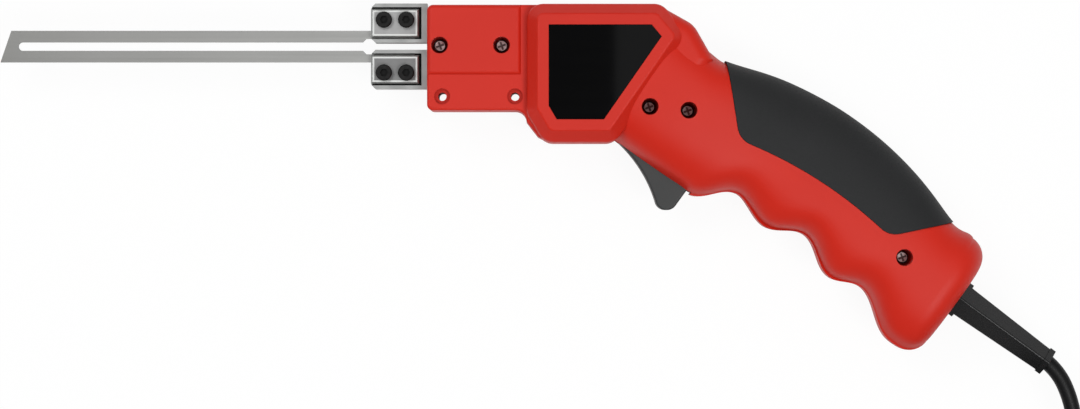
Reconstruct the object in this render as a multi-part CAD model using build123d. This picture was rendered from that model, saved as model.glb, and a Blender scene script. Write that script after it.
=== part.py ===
"""Electric hot knife: a slotted resistance blade in two clamps, a transformer housing and a pistol handle.

Row frame, in millimetres: the tool lies on its right side on a table at Z = 0. X runs from the blade's
tip to the handle, Y from the trigger side to the back, Z up from the table. The two halves of the housing
meet at the parting plane, half the body's width above the table. Pieces of the tool are drawn around
that plane, at z = 0, and lifted at the end; the put-away cord is drawn on the table itself.
"""

from build123d import *
import math
import os

# Housing
BODY_WIDTH = 46.0
WALL = 2.4
FIT = 0.15
EDGE_ROUND = 1.0

# Badge and the raised panel round it; the outline starts at the top left corner and goes clockwise
BADGE_OUTLINE = [(-18.4, 17.1), (18.0, 17.1), (21.4, 13.0), (1.0, -16.3), (-15.6, -16.3), (-18.4, -11.6)]
BADGE_DEPTH = 1.2
PANEL_RIM = 4.0
PANEL_BAND = 4.0
PANEL_DROP = 4.6
PANEL_CORNER = 2.0
BODY_DROP = 0.3

# Shoulder that leads from the body into the handle
SHOULDER_WIDTH = 39.6
SHOULDER_EDGE = 5.0
SHOULDER_KNEE = (33.2, 17.4)
SHOULDER_FOOT = (40.2, 5.1)
SHOULDER_ROUND = 9.0

# Nose
NOSE_FRONT = -61.9
NOSE_BOTTOM = -13.1
NOSE_DROP = 0.2
NOSE_WIDTH = 32.0
NOSE_STEP = 1.0
NOSE_STEP_Y = -0.4
NOSE_PAD_END = -28.3
NOSE_PAD_ROUND = 1.6
NOSE_CORNER = 2.2
NOSE_GUSSET = 4.0
NOSE_TOE_IN = 4.1
NOSE_TOE_UP = 2.2

# Handle: s runs along its axis from the trigger's mouth, n runs from the finger side to the back
HANDLE_ORIGIN = (7.2, -25.6)
HANDLE_ANGLE = -36.0
HANDLE_START = -6.0
HANDLE_LENGTH = 130.2
HANDLE_SPINE = 27.0
HANDLE_ROOT_WIDTH = 43.0
HANDLE_GRIP_WIDTH = 36.4
HANDLE_ROOT_POWER = 3.2
HANDLE_GRIP_POWER = 2.5
HANDLE_EASE = 55.0
HANDLE_END_ROUND = 8.0
FINGER_LINE = [
    (-30.0, 0.3),
    (30.0, 0.4),
    (44.2, 10.7),
    (58.5, 6.9),
    (72.4, 13.0),
    (88.3, 5.9),
    (99.5, 9.7),
    (119.5, 0.1),
]
BACK_PEAK = (64.5, 57.1)
BACK_RADIUS = 127.0
TAIL_BACK = 47.8
ROOT_BACK = 46.0
STATION_STEP = 4.6
CAVITY_STATION_STEP = 6.5
SECTION_POINTS = 12
SKIRT = 6.0
END_ROUND_STEPS = 5
END_WALL = 4.4

# Soft grip pads
GRIP_FRONT_FOOT = (33.0, 26.4)
GRIP_REAR_FOOT = (96.0, 30.0)
GRIP_BOW = (64.0, 31.4)
GRIP_FRONT_TOP = (3.0, 56.6)
GRIP_REAR_TOP = (126.0, 62.6)
GRIP_DEPTH = 1.8
GRIP_PROUD = 0.4
GRIP_CORNER = 7.5
GRIP_STATION_STEP = 11.0

# Housing screws
NOSE_SCREWS = [(-57.4, 10.2), (-35.3, 10.2)]
HANDLE_SCREWS = [(17.5, -11.8), (31.3, -13.1), (108.1, -65.5)]
SCREW_RECESS = 6.0
SCREW_HEAD = 4.6
SCREW_HEAD_HEIGHT = 2.2
SCREW_SHANK = 2.9
SCREW_SHANK_GAP = 0.1
SCREW_LENGTH = 16.0
SCREW_SEAT = 5.5
SCREW_CROSS = 3.0
SCREW_CROSS_SLOT = 0.7
SCREW_CROSS_TURN = 20.0
BOSS_WALL = 1.4

# Accessory holes through the nose rail
ACCESSORY_HOLES = [(-56.5, -8.1), (-30.5, -8.1)]
ACCESSORY_BORE = 3.0
ACCESSORY_RECESS = 5.7
ACCESSORY_DEPTH = 4.0

# Blade
BLADE_TIP = -215.8
BLADE_TIP_SLANT = 3.9
BLADE_HEIGHT = 11.4
BLADE_THICK = 0.8
BLADE_SLOT = 3.0
BLADE_SLOT_END = -209.2
BLADE_TANG_SPREAD = 5.5
BLADE_TANG_LENGTH = 15.6

# Electrodes and clamps, mirrored above and below the blade's centre line
CLAMP_Y = 10.2
CLAMP_FRONT = -82.3
CLAMP_HEIGHT = 14.1
CLAMP_SPLIT = 2.5
CLAMP_BELOW = 6.5
CLAMP_ABOVE = 4.0
CLAMP_CHAMFER = 1.6
CLAMP_RIM = 1.3
CLAMP_BACK_WALL = 2.1
PLATE_GAP = 0.6
PLATE_BACK_GAP = 0.9
PLATE_PROUD = 0.3
PLATE_BEVEL = 0.6
CLAMP_SCREW_X = [-77.6, -69.6]
CLAMP_SCREW_OFFSET = 9.5
CLAMP_SCREW_HEAD = 5.8
CLAMP_SCREW_HEAD_HEIGHT = 2.6
CLAMP_SCREW_SHANK = 3.0
CLAMP_SCREW_SOCKET = 2.6
CLAMP_SCREW_SOCKET_DEPTH = 1.5
TONGUE_OFFSET = 8.4
TONGUE_HEIGHT = 5.4
TONGUE_WIDTH = 8.0
TONGUE_END = -29.0
LAP_LENGTH = 8.0

# Insulator block in the nose
INSULATOR_BOTTOM = -3.6

# Transformer
CORE_RIGHT = 11.6
CORE_LEG = 11.0
CORE_WINDOW = 5.2
CORE_STACK = 24.0
CORE_HEIGHT = 35.0
BOBBIN_WALL = 0.8
BOBBIN_FLANGE = 1.0
WINDING_THICK = 2.2
BAR_THICK = 1.4
BAR_WIDTH = 10.0
BAR_GAP = 0.2
BAR_BEND = 2.4
BAR_DROP_GAP = 1.0
BUSBAR_SCREW_SHANK = 2.5
BUSBAR_SCREW_HEAD = 4.4
BUSBAR_SCREW_HEAD_HEIGHT = 1.6

# Trigger, in the handle's s and n
TRIGGER_PIVOT = (2.4, 5.4)
TRIGGER_WIDTH = 15.0
TRIGGER_SIDE_GAP = 0.5
TRIGGER_HUB = 3.4
TRIGGER_TOP = 7.0
TRIGGER_REAR = 28.6
TRIGGER_FACE_START = (-1.0, 0.5)
TRIGGER_FACE_MID = (12.6, -3.3)
TRIGGER_FACE_END = (22.6, -9.3)
TRIGGER_TIP = (25.0, -10.4)
TRIGGER_TIP_BACK = (28.6, -7.6)
TRIGGER_TIP_ROUND = 3.7
TRIGGER_LIP = 3.6
TRIGGER_LIP_HEIGHT = 1.8
TRIGGER_TRAVEL_DEG = 9.0
TRIGGER_EDGE = 0.8
MOUTH_START = -2.6
MOUTH_END = 30.3
MOUTH_DEPTH = 4.6
PIN_DIAMETER = 3.0
PIN_SLIP = 0.05
PIN_LENGTH = 24.0
PIN_BOSS_WALL = 1.8

# Return spring and its seat
SPRING_S = 11.4
SPRING_DIAMETER = 6.0
SPRING_WIRE = 0.8
SPRING_WIRE_FLAT = 0.68
SPRING_TURNS = 5
SPRING_SEAT_N = 14.6
SPRING_SEAT_THICK = 1.6
SPRING_SEAT_LENGTH = 8.0

# Switch
SWITCH_FRONT = 16.9
SWITCH_LENGTH = 19.6
SWITCH_BOTTOM = 12.6
SWITCH_HEIGHT = 10.0
SWITCH_WIDTH = 12.0
PLUNGER_S = 24.0
PLUNGER_DIAMETER = 4.0
PLUNGER_GAP = 0.3
PLUNGER_INSIDE = 4.0
PLUNGER_SLIP = 0.1
PLUNGER_DOME = 1.6
TERMINAL_LENGTH = 5.0
TERMINAL_WIDTH = 3.2
TERMINAL_THICK = 0.8
TERMINAL_SHARES = [0.25, 0.75]
SWITCH_SHELF = 1.6

# Cord, sleeve and cord clamp
CORD_DIAMETER = 5.7
CORD_N = 27.4
INNER_CORD_END = 114.0
SLEEVE_LENGTH = 40.2
SLEEVE_ROOT = 12.3
SLEEVE_TIP = 9.4
SLEEVE_LIP = 10.6
SLEEVE_LIP_LENGTH = 2.2
SLEEVE_FLANGE = 14.3
SLEEVE_FLANGE_THICK = 2.3
SLEEVE_NECK = 9.4
SLEEVE_BUTTON = 13.0
SLEEVE_BUTTON_THICK = 2.0
SLEEVE_CORNER = 0.7
CORD_BORE_GAP = 0.1
CORD_CLAMP_S = 119.0
CORD_CLAMP_LENGTH = 6.4
CORD_CLAMP_WIDTH = 24.0
CORD_CLAMP_THICK = 2.6
CORD_CLAMP_SPACING = 16.4
CORD_CLAMP_POST = 5.6
CORD_CLAMP_BITE = 7.0

# Inner leads, as hand-chosen points: in the handle's s, n and z, and in X and Y where they cross the body
LEAD_DIAMETER = 2.2
LEAD_OFFSET = 1.32
LEAD_START = 2.4
LEAD_APPROACH = 7.0
LIVE_ROUTE = [(107.0, 35.4, -2.0), (96.0, 34.8, -4.0), (76.0, 32.0, -6.0), (58.0, 24.0, -5.0)]
NEUTRAL_ROUTE = [
    (107.0, 18.6, 2.0),
    (96.0, 19.5, 5.0),
    (78.0, 22.5, 7.0),
    (56.0, 27.0, 7.0),
    (38.0, 31.0, 7.4),
]
SWITCH_ROUTE = [(51.0, 28.5, -4.0), (40.0, 33.0, -7.4)]
BODY_LEAD_ROUTE = [(31.0, 4.0), (20.0, 17.0), (9.0, 21.0)]

# Put-away cord on the table, as hand-chosen points, and the coil that it ends in
CORD_LIFT = 0.1
RUN_OUT = 12.5
RUN_ROUTE = [(178.6, -122.3, 21.5), (182.5, -136.8, 16.6), (183.6, -152.8, 9.2)]
RUN_LAST = 15.0
COIL_CENTRE = (146.6, -183.2)
COIL_OUTER = 37.2
COIL_STEP = 3.6
COIL_STEPS = 3
COIL_LAYERS = 4
COIL_LAYER_RISE = 6.3
COIL_SIDES = 6
TAIL_OUT = 16.0
TAIL_ROUTE = [(111.8, -217.6, 18.3), (94.3, -215.2, 10.4)]
TAIL_END = (63.8, -213.9)
TAIL_LAST = 14.0
TIE_THICK = 1.0
TIE_WIDTH = 8.0
TIE_GAP = 0.5

# Plug: flat two-pin type
PLUG_LENGTH = 36.0
PLUG_WIDTH = 35.3
PLUG_FACE_WIDTH = 26.0
PLUG_THICK = 13.8
PLUG_TAIL_WIDTH = 14.0
PLUG_SHOULDER = 7.0
PLUG_NECK = 11.5
PLUG_NECK_ROOT = 10.6
PLUG_NECK_TIP = 8.2
PLUG_ROUND = 2.0
PIN_SPACING = 18.6
PLUG_PIN_DIAMETER = 4.0
PLUG_PIN_LENGTH = 19.0
PLUG_PIN_ROUND = 1.2

# Derived values
BODY_HALF = BODY_WIDTH / 2
CORD_R = CORD_DIAMETER / 2
BOSS_R = SCREW_RECESS / 2 + BOSS_WALL
ACCESSORY_BOSS_R = ACCESSORY_RECESS / 2 + BOSS_WALL
BODY_TOP = BADGE_OUTLINE[0][1] + PANEL_RIM + PANEL_BAND - BODY_DROP
BODY_BOTTOM = BADGE_OUTLINE[4][1] - PANEL_RIM - PANEL_BAND - BODY_DROP
BODY_LEFT = BADGE_OUTLINE[0][0] - PANEL_RIM - PANEL_BAND
NOSE_TOP = BODY_TOP - NOSE_DROP
BODY_CAVITY_HALF = BODY_HALF - BADGE_DEPTH - WALL
CLAMP_BACK = NOSE_FRONT - FIT
PLATE_TOP = CLAMP_ABOVE + PLATE_PROUD
CORE_WIDTH = 2 * (CORE_LEG + CORE_WINDOW)
CORE_X = CORE_RIGHT - CORE_WIDTH / 2
YOKE = CORE_LEG / 2
BAR_TOP_Y = CLAMP_Y + TONGUE_OFFSET - BAR_THICK / 2
BAR_LOW_Y = CLAMP_Y - TONGUE_OFFSET - BAR_THICK / 2
WINDING_REACH = BOBBIN_WALL + FIT + WINDING_THICK
BAR_REACH = WINDING_REACH + BAR_GAP + BAR_THICK / 2
CORE_Y = BAR_TOP_Y - BAR_REACH - CORE_STACK / 2
BAR_BOTTOM_Y = CORE_Y - CORE_STACK / 2 - BAR_REACH
BAR_WINDOW_X = CORE_X + CORE_LEG / 2 + BAR_REACH
BAR_DROP_X = CORE_X - CORE_WIDTH / 2 - BAR_DROP_GAP - BAR_THICK / 2
HANDLE = Location((HANDLE_ORIGIN[0], HANDLE_ORIGIN[1], 0), (0, 0, HANDLE_ANGLE))
SLEEVE_END = HANDLE_LENGTH + SLEEVE_LENGTH
LIFT = Pos(0, 0, BODY_HALF)
FAR = 400.0
UPPER_SPACE = Pos(0, 0, FAR / 2) * Box(2 * FAR, 2 * FAR, FAR)


def ease(share):
    """A smooth step from 0 to 1."""
    share = min(max(share, 0.0), 1.0)
    return (1 - math.cos(math.pi * share)) / 2


def finger_side(s):
    """The finger side's height, easing from each bump or groove to the next."""
    for (s0, n0), (s1, n1) in zip(FINGER_LINE, FINGER_LINE[1:]):
        if s <= s1:
            return n0 + (n1 - n0) * ease((s - s0) / (s1 - s0))
    return FINGER_LINE[-1][1]


def back_side(s):
    """The back's height: one large arc that runs out into the root and the flared tail."""
    peak_s, peak_n = BACK_PEAK
    sag = BACK_RADIUS - math.sqrt(BACK_RADIUS**2 - (s - peak_s) ** 2)
    return max(peak_n - sag, TAIL_BACK if s > peak_s else ROOT_BACK)


def handle_section(s, inset, finger_inset=None):
    """The upper half of the handle's section, drawn in by inset, with straight sides below the parting plane.

    Its arch is two quarter superellipses that share the spine.
    """
    share = ease(s / HANDLE_EASE)
    width = HANDLE_ROOT_WIDTH + (HANDLE_GRIP_WIDTH - HANDLE_ROOT_WIDTH) * share
    power = HANDLE_ROOT_POWER + (HANDLE_GRIP_POWER - HANDLE_ROOT_POWER) * share
    half = width / 2 - inset
    back = back_side(s) - HANDLE_SPINE - inset
    finger = HANDLE_SPINE - finger_side(s) - (inset if finger_inset is None else finger_inset)
    points = []
    for i in range(SECTION_POINTS + 1):
        angle = math.pi * i / SECTION_POINTS
        c, d = math.cos(angle), max(math.sin(angle), 0.0)
        reach = back if c > 0 else finger
        n = HANDLE_SPINE + math.copysign(reach * abs(c) ** (2 / power), c)
        points.append((n, half * d ** (2 / power)))
    (back_n, _), (finger_n, _) = points[0], points[-1]
    arch = Spline(points, tangents=[(0, 1), (0, -1)])
    foot = Polyline(points[-1], (finger_n, -SKIRT), (back_n, -SKIRT), points[0])
    plane = Plane((s, 0, 0), x_dir=(0, 1, 0), z_dir=(1, 0, 0))
    return plane * make_face([arch, foot])


def handle_loft(start, end, step, inset, finger_inset=None):
    """The handle's form between two stations, drawn in by inset, in the handle's own axes."""
    count = max(2, round((end - start) / step))
    stations = [start + (end - start) * i / count for i in range(count + 1)]
    return loft([handle_section(s, inset, finger_inset) for s in stations])


def at(s, n, z=0.0):
    """A point of the handle's axes in the row frame."""
    return HANDLE * Pos(s, n, z)


def spot(s, n, z=0.0):
    return Vector(at(s, n, z).position)


def slab(x0, x1, y0, y1, z0, z1):
    """A box from its limits."""
    return Pos((x0 + x1) / 2, (y0 + y1) / 2, (z0 + z1) / 2) * Box(x1 - x0, y1 - y0, z1 - z0)


def rod(x, y, radius, z0, z1):
    return Pos(x, y, (z0 + z1) / 2) * Cylinder(radius, z1 - z0)


def outline_face(points):
    return make_face(Polyline(*points, close=True))


# Outer form of one half of the housing

badge_face = outline_face(BADGE_OUTLINE)
panel_sharp = offset(badge_face, PANEL_RIM, kind=Kind.INTERSECTION)
panel_face = fillet(panel_sharp.vertices(), PANEL_CORNER)
body_face = Pos(0, -BODY_DROP) * offset(panel_face, PANEL_BAND, kind=Kind.ARC)
shoulder_face = outline_face(
    [
        (0, BODY_TOP),
        (BADGE_OUTLINE[1][0] + PANEL_RIM / 2, BODY_TOP),
        SHOULDER_KNEE,
        SHOULDER_FOOT,
        (SHOULDER_FOOT[0] - SHOULDER_ROUND, -SHOULDER_ROUND),
        (0, -SHOULDER_ROUND),
    ]
)


def body_block():
    """The transformer housing: straight walls, a sloped band and the flat panel."""
    low = BODY_HALF - PANEL_DROP
    block = extrude(body_face, low)
    block += loft([Pos(0, 0, low) * body_face, Pos(0, 0, BODY_HALF) * panel_face], ruled=True)
    rim_edges = block.edges().filter_by_position(Axis.Z, BODY_HALF - 0.01, BODY_HALF + 0.01)
    block = fillet(rim_edges, EDGE_ROUND)
    band_edges = block.edges().filter_by_position(Axis.Z, low - 0.01, low + 0.01)
    return fillet(band_edges, 2 * EDGE_ROUND)


def shoulder_block():
    """The rounded shoulder behind the panel."""
    corners = shoulder_face.vertices().sort_by(Axis.X)[-3:]
    knee = [v for v in corners if abs(v.X - SHOULDER_KNEE[0]) < 0.01]
    face = fillet(knee, SHOULDER_ROUND)
    block = extrude(face, SHOULDER_WIDTH / 2)
    top_edges = block.edges().filter_by_position(Axis.Z, SHOULDER_WIDTH / 2 - 0.01, SHOULDER_WIDTH / 2 + 0.01)
    hump_edges = [e for e in top_edges if e.center().X > SHOULDER_KNEE[0] or e.center().Y > SHOULDER_FOOT[1]]
    return fillet(hump_edges, SHOULDER_EDGE)


def nose_block():
    """The nose: a flat rail, a raised pad above it and a gusset to the body."""
    inner = BODY_LEFT + 2 * NOSE_TOE_IN
    foot = NOSE_BOTTOM - NOSE_GUSSET
    half = NOSE_WIDTH / 2
    edge_line = Polyline(
        (BODY_LEFT, foot),
        (BODY_LEFT + NOSE_TOE_IN, BODY_BOTTOM + NOSE_TOE_UP),
        (inner, BODY_BOTTOM + FIT),
        (inner, NOSE_TOP),
        (NOSE_FRONT, NOSE_TOP),
        (NOSE_FRONT, NOSE_BOTTOM),
        (BODY_LEFT - NOSE_GUSSET, NOSE_BOTTOM),
    )
    bend = Vector(BODY_LEFT - NOSE_GUSSET, foot)
    middle = bend + Vector(NOSE_GUSSET, NOSE_GUSSET) * math.sqrt(0.5)
    gusset = ThreePointArc((BODY_LEFT - NOSE_GUSSET, NOSE_BOTTOM), (middle.X, middle.Y), (BODY_LEFT, foot))
    face = make_face([edge_line, gusset])
    front = [v for v in face.vertices() if abs(v.X - NOSE_FRONT) < 0.01]
    face = fillet(front, NOSE_CORNER)
    block = None
    pad = face & Pos(NOSE_PAD_END - FAR / 2, NOSE_STEP_Y + FAR / 2) * Rectangle(FAR, FAR)
    for top, part, radius in ((half - NOSE_STEP, face, EDGE_ROUND), (half, pad, NOSE_PAD_ROUND)):
        layer = extrude(part, top)
        rim = layer.edges().filter_by_position(Axis.Z, top - 0.01, top + 0.01)
        layer = fillet([e for e in rim if e.center().X < inner - 0.01], radius)
        block = layer if block is None else block + layer
    return block


def handle_block():
    """The upper half of the handle's outer form, with its rounded end."""
    straight = HANDLE_LENGTH - HANDLE_END_ROUND
    form = handle_loft(HANDLE_START, straight, STATION_STEP, 0.0)
    rounded = []
    for i in range(END_ROUND_STEPS + 1):
        angle = math.pi / 2 * i / END_ROUND_STEPS
        inset = HANDLE_END_ROUND * (1 - math.cos(angle))
        rounded.append(handle_section(straight + HANDLE_END_ROUND * math.sin(angle), inset))
    return HANDLE * (form + loft(rounded)) & UPPER_SPACE


def grip_prism(gap):
    """The upright prism over the soft pad's outline, grown by gap."""
    sides = Polyline(GRIP_FRONT_FOOT, GRIP_FRONT_TOP, GRIP_REAR_TOP, GRIP_REAR_FOOT)
    bow = ThreePointArc(GRIP_REAR_FOOT, GRIP_BOW, GRIP_FRONT_FOOT)
    face = make_face([sides, bow])
    feet = [v for v in face.vertices() if v.Y < HANDLE_SPINE + GRIP_PROUD + GRIP_CORNER * 2]
    face = fillet(feet, GRIP_CORNER)
    if gap:
        face = offset(face, gap, kind=Kind.ARC)
    return extrude(face, BODY_WIDTH, both=True)


def grip_core(inset):
    """The handle's form under or over the soft pads."""
    return handle_loft(GRIP_STATION_STEP / 2, HANDLE_LENGTH - GRIP_STATION_STEP, GRIP_STATION_STEP, inset)


# Inside of one half of the housing


def screw_posts():
    posts = [rod(x, y, BOSS_R, 0, BODY_WIDTH) for x, y in NOSE_SCREWS + HANDLE_SCREWS]
    posts += [rod(x, y, ACCESSORY_BOSS_R, 0, BODY_WIDTH) for x, y in ACCESSORY_HOLES]
    return posts


def inner_ribs():
    """Ribs that hold the transformer, the spring, the switch and the trigger pin."""
    core_half = CORE_HEIGHT / 2
    left, right = CORE_X - CORE_WIDTH / 2, CORE_X + CORE_WIDTH / 2
    low, high = CORE_Y - CORE_STACK / 2, CORE_Y + CORE_STACK / 2
    ribs = [
        slab(left, left + YOKE, low, high, core_half + FIT, BODY_WIDTH),
        slab(right - YOKE, right, low, high, core_half + FIT, BODY_WIDTH),
    ]
    seat = slab(
        SPRING_S - SPRING_SEAT_LENGTH / 2,
        SPRING_S + SPRING_SEAT_LENGTH / 2,
        SPRING_SEAT_N,
        SPRING_SEAT_N + SPRING_SEAT_THICK,
        0,
        BODY_WIDTH,
    )
    top = SWITCH_BOTTOM + SWITCH_HEIGHT + FIT
    shelf = slab(
        SWITCH_FRONT + SWITCH_LENGTH / 2, SWITCH_FRONT + SWITCH_LENGTH, top, top + SWITCH_SHELF, 0, BODY_WIDTH
    )
    cheek = slab(
        SWITCH_FRONT,
        SWITCH_FRONT + SWITCH_LENGTH,
        SWITCH_BOTTOM,
        SWITCH_BOTTOM + SWITCH_HEIGHT,
        SWITCH_WIDTH / 2 + FIT,
        BODY_WIDTH,
    )
    hub = Pos(*TRIGGER_PIVOT, 0) * rod(
        0, 0, PIN_DIAMETER / 2 + PIN_BOSS_WALL, TRIGGER_WIDTH / 2 + TRIGGER_SIDE_GAP, BODY_WIDTH
    )
    return ribs + [HANDLE * piece for piece in (seat, shelf, cheek, hub)]


def cavity():
    """The hollow of one half: body, nose and handle, less the posts and ribs."""
    hollow_face = offset(body_face, -WALL, kind=Kind.ARC)
    hollow = extrude(hollow_face, BODY_CAVITY_HALF)
    hollow += slab(
        NOSE_FRONT + WALL,
        CORE_X,
        NOSE_BOTTOM + WALL,
        NOSE_TOP - WALL,
        0,
        NOSE_WIDTH / 2 - NOSE_STEP - WALL,
    )
    hollow += extrude(offset(shoulder_face, -WALL, kind=Kind.ARC), SHOULDER_WIDTH / 2 - WALL)
    inner = handle_loft(
        HANDLE_START / 2, HANDLE_LENGTH - END_WALL, CAVITY_STATION_STEP, WALL + GRIP_DEPTH, WALL
    )
    hollow += HANDLE * inner & UPPER_SPACE
    for piece in screw_posts() + inner_ribs():
        hollow -= piece
    return hollow


def mouth():
    """The slot that the trigger passes through, and the two tongue windows, badge recess and sleeve hole."""
    half = TRIGGER_WIDTH / 2 + TRIGGER_SIDE_GAP
    slot = HANDLE * slab(MOUTH_START, MOUTH_END, -MOUTH_DEPTH, MOUTH_DEPTH, -half, half)
    pin = Pos(*TRIGGER_PIVOT, 0) * rod(0, 0, PIN_DIAMETER / 2 + PIN_SLIP, -PIN_LENGTH / 2, PIN_LENGTH / 2)
    cuts = [slot, HANDLE * pin]
    for y in (CLAMP_Y + TONGUE_OFFSET, CLAMP_Y - TONGUE_OFFSET):
        half_y, half_z = TONGUE_HEIGHT / 2 + FIT, TONGUE_WIDTH / 2 + FIT
        cuts.append(slab(NOSE_FRONT - WALL, NOSE_FRONT + 2 * WALL, y - half_y, y + half_y, -half_z, half_z))
    along_axis = Plane((HANDLE_LENGTH - 2 * END_WALL, CORD_N, 0), x_dir=(0, 1, 0), z_dir=(1, 0, 0))
    hole = along_axis * Circle(SLEEVE_NECK / 2 + FIT)
    cuts.append(HANDLE * extrude(hole, 3 * END_WALL))
    return cuts


def outer_half():
    """The outside of one half, with the pad's recess and the badge's well."""
    outer = body_block() + shoulder_block() + nose_block() + handle_block()
    outer -= HANDLE * (grip_prism(FIT) - grip_core(GRIP_DEPTH + FIT))
    well = extrude(offset(badge_face, FIT, kind=Kind.INTERSECTION), BADGE_DEPTH)
    return outer - Pos(0, 0, BODY_HALF - BADGE_DEPTH) * well


def hollowed(outer, hollow):
    """A half with its hollow, its openings and the two counterbored holes of the nose rail."""
    half = outer - hollow
    for cut in mouth():
        half -= cut
    floor = NOSE_WIDTH / 2 - ACCESSORY_DEPTH
    for x, y in ACCESSORY_HOLES:
        half -= rod(x, y, ACCESSORY_BORE / 2, -BODY_WIDTH, BODY_WIDTH)
        half -= rod(x, y, ACCESSORY_RECESS / 2, floor, BODY_WIDTH)
    return half


def left_shell(outer, hollow):
    """The half with the deep screw recesses."""
    half = hollowed(outer, hollow)
    for x, y in NOSE_SCREWS + HANDLE_SCREWS:
        half -= rod(x, y, SCREW_RECESS / 2, SCREW_SEAT, BODY_WIDTH)
        half -= rod(x, y, SCREW_SHANK / 2 + SCREW_SHANK_GAP, -WALL, SCREW_SEAT)
    return half


def right_shell(outer, hollow):
    """The half with the screw pilots, cord saddle and cord-clamp posts, drawn up and then mirrored."""
    reach = CORD_CLAMP_LENGTH / 2
    low, high = clamp_posts()
    saddle = slab(CORD_CLAMP_S - reach, CORD_CLAMP_S + reach, low, high, CORD_R + FIT, BODY_WIDTH)
    for n in (low, high):
        saddle += rod(CORD_CLAMP_S, n, CORD_CLAMP_POST / 2, 0, BODY_WIDTH)
    half = hollowed(outer, hollow - HANDLE * saddle)
    hole = SCREW_SHANK / 2 + SCREW_SHANK_GAP
    for x, y in NOSE_SCREWS + HANDLE_SCREWS:
        half -= rod(x, y, hole, -WALL, SCREW_LENGTH - SCREW_SEAT + WALL)
    for n in (low, high):
        half -= HANDLE * rod(CORD_CLAMP_S, n, hole, -WALL, CORD_CLAMP_BITE + WALL / 2)
    return mirror(half, about=Plane.XY)


def clamp_posts():
    """The two n positions of the cord clamp's posts."""
    return CORD_N - CORD_CLAMP_SPACING / 2, CORD_N + CORD_CLAMP_SPACING / 2


def grip_pad():
    """The upper half of the soft pad."""
    skin = grip_core(-GRIP_PROUD) & grip_prism(0.0)
    pad = HANDLE * (skin - grip_core(GRIP_DEPTH))
    pad -= extrude(offset(shoulder_face, 2 * FIT, kind=Kind.ARC), BODY_WIDTH, both=True)
    return (pad & UPPER_SPACE).solids().sort_by(SortBy.VOLUME)[-1]


# Fasteners


def cross_screw(x, y, head, head_height, shank, seat, length):
    """A pan-head screw that points down from its seat, with a cross recess."""
    screw = rod(x, y, head / 2, seat, seat + head_height)
    top_edge = screw.edges().sort_by(Axis.Z)[-1]
    screw = fillet(top_edge, head_height / 3)
    screw += rod(x, y, shank / 2, seat - length, seat)
    for turn in (0, 90):
        bar = Box(SCREW_CROSS, SCREW_CROSS_SLOT, head_height)
        screw -= Pos(x, y, seat + head_height) * Rot(0, 0, turn + SCREW_CROSS_TURN) * bar
    return screw


def group(pieces):
    """Several solids as one node."""
    return Compound([solid for piece in pieces for solid in piece.solids()])


def housing_screws():
    sizes = (SCREW_HEAD, SCREW_HEAD_HEIGHT, SCREW_SHANK, SCREW_SEAT, SCREW_LENGTH)
    return group([cross_screw(x, y, *sizes) for x, y in NOSE_SCREWS + HANDLE_SCREWS])


def clamp_screws(side):
    """Two hex-socket screws of one clamp; side is 1 above the blade and -1 below it."""
    screws = []
    y = CLAMP_Y + side * CLAMP_SCREW_OFFSET
    top = PLATE_TOP + CLAMP_SCREW_HEAD_HEIGHT
    for x in CLAMP_SCREW_X:
        screw = rod(x, y, CLAMP_SCREW_HEAD / 2, PLATE_TOP, top)
        screw = chamfer(screw.edges().sort_by(Axis.Z)[-1], EDGE_ROUND / 3)
        screw += rod(x, y, CLAMP_SCREW_SHANK / 2, -CLAMP_BELOW + EDGE_ROUND, PLATE_TOP)
        socket = RegularPolygon(CLAMP_SCREW_SOCKET / 2, 6, major_radius=False)
        screw -= Pos(x, y, top - CLAMP_SCREW_SOCKET_DEPTH) * extrude(socket, CLAMP_SCREW_SOCKET_DEPTH)
        screws.append(screw)
    return group(screws)


# Blade, clamps and electrodes


def blade():
    """The U of resistance strip: two legs, a slanted tip and tangs that spread into the clamps."""
    half = BLADE_HEIGHT / 2
    end = CLAMP_FRONT + BLADE_TANG_LENGTH
    spread = (BLADE_TANG_SPREAD - BLADE_SLOT) / 2
    bend = CLAMP_FRONT - BLADE_SLOT
    face = outline_face(
        [
            (BLADE_TIP, CLAMP_Y - half),
            (BLADE_TIP + BLADE_TIP_SLANT, CLAMP_Y + half),
            (end, CLAMP_Y + half),
            (end, CLAMP_Y - half),
        ]
    )
    slot_start = BLADE_SLOT_END + BLADE_SLOT / 2
    slot = Pos(slot_start, CLAMP_Y) * Circle(BLADE_SLOT / 2)
    slot += outline_face(
        [
            (slot_start, CLAMP_Y + BLADE_SLOT / 2),
            (bend, CLAMP_Y + BLADE_SLOT / 2),
            (bend + spread, CLAMP_Y + BLADE_TANG_SPREAD / 2),
            (end + BLADE_SLOT, CLAMP_Y + BLADE_TANG_SPREAD / 2),
            (end + BLADE_SLOT, CLAMP_Y - BLADE_TANG_SPREAD / 2),
            (bend + spread, CLAMP_Y - BLADE_TANG_SPREAD / 2),
            (bend, CLAMP_Y - BLADE_SLOT / 2),
            (slot_start, CLAMP_Y - BLADE_SLOT / 2),
        ]
    )
    return extrude(face - slot, BLADE_THICK / 2, both=True)


def clamp_span(side):
    """The lower and upper Y of one clamp block."""
    near = CLAMP_Y + side * CLAMP_SPLIT / 2
    return sorted((near, near + side * CLAMP_HEIGHT))


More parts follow.
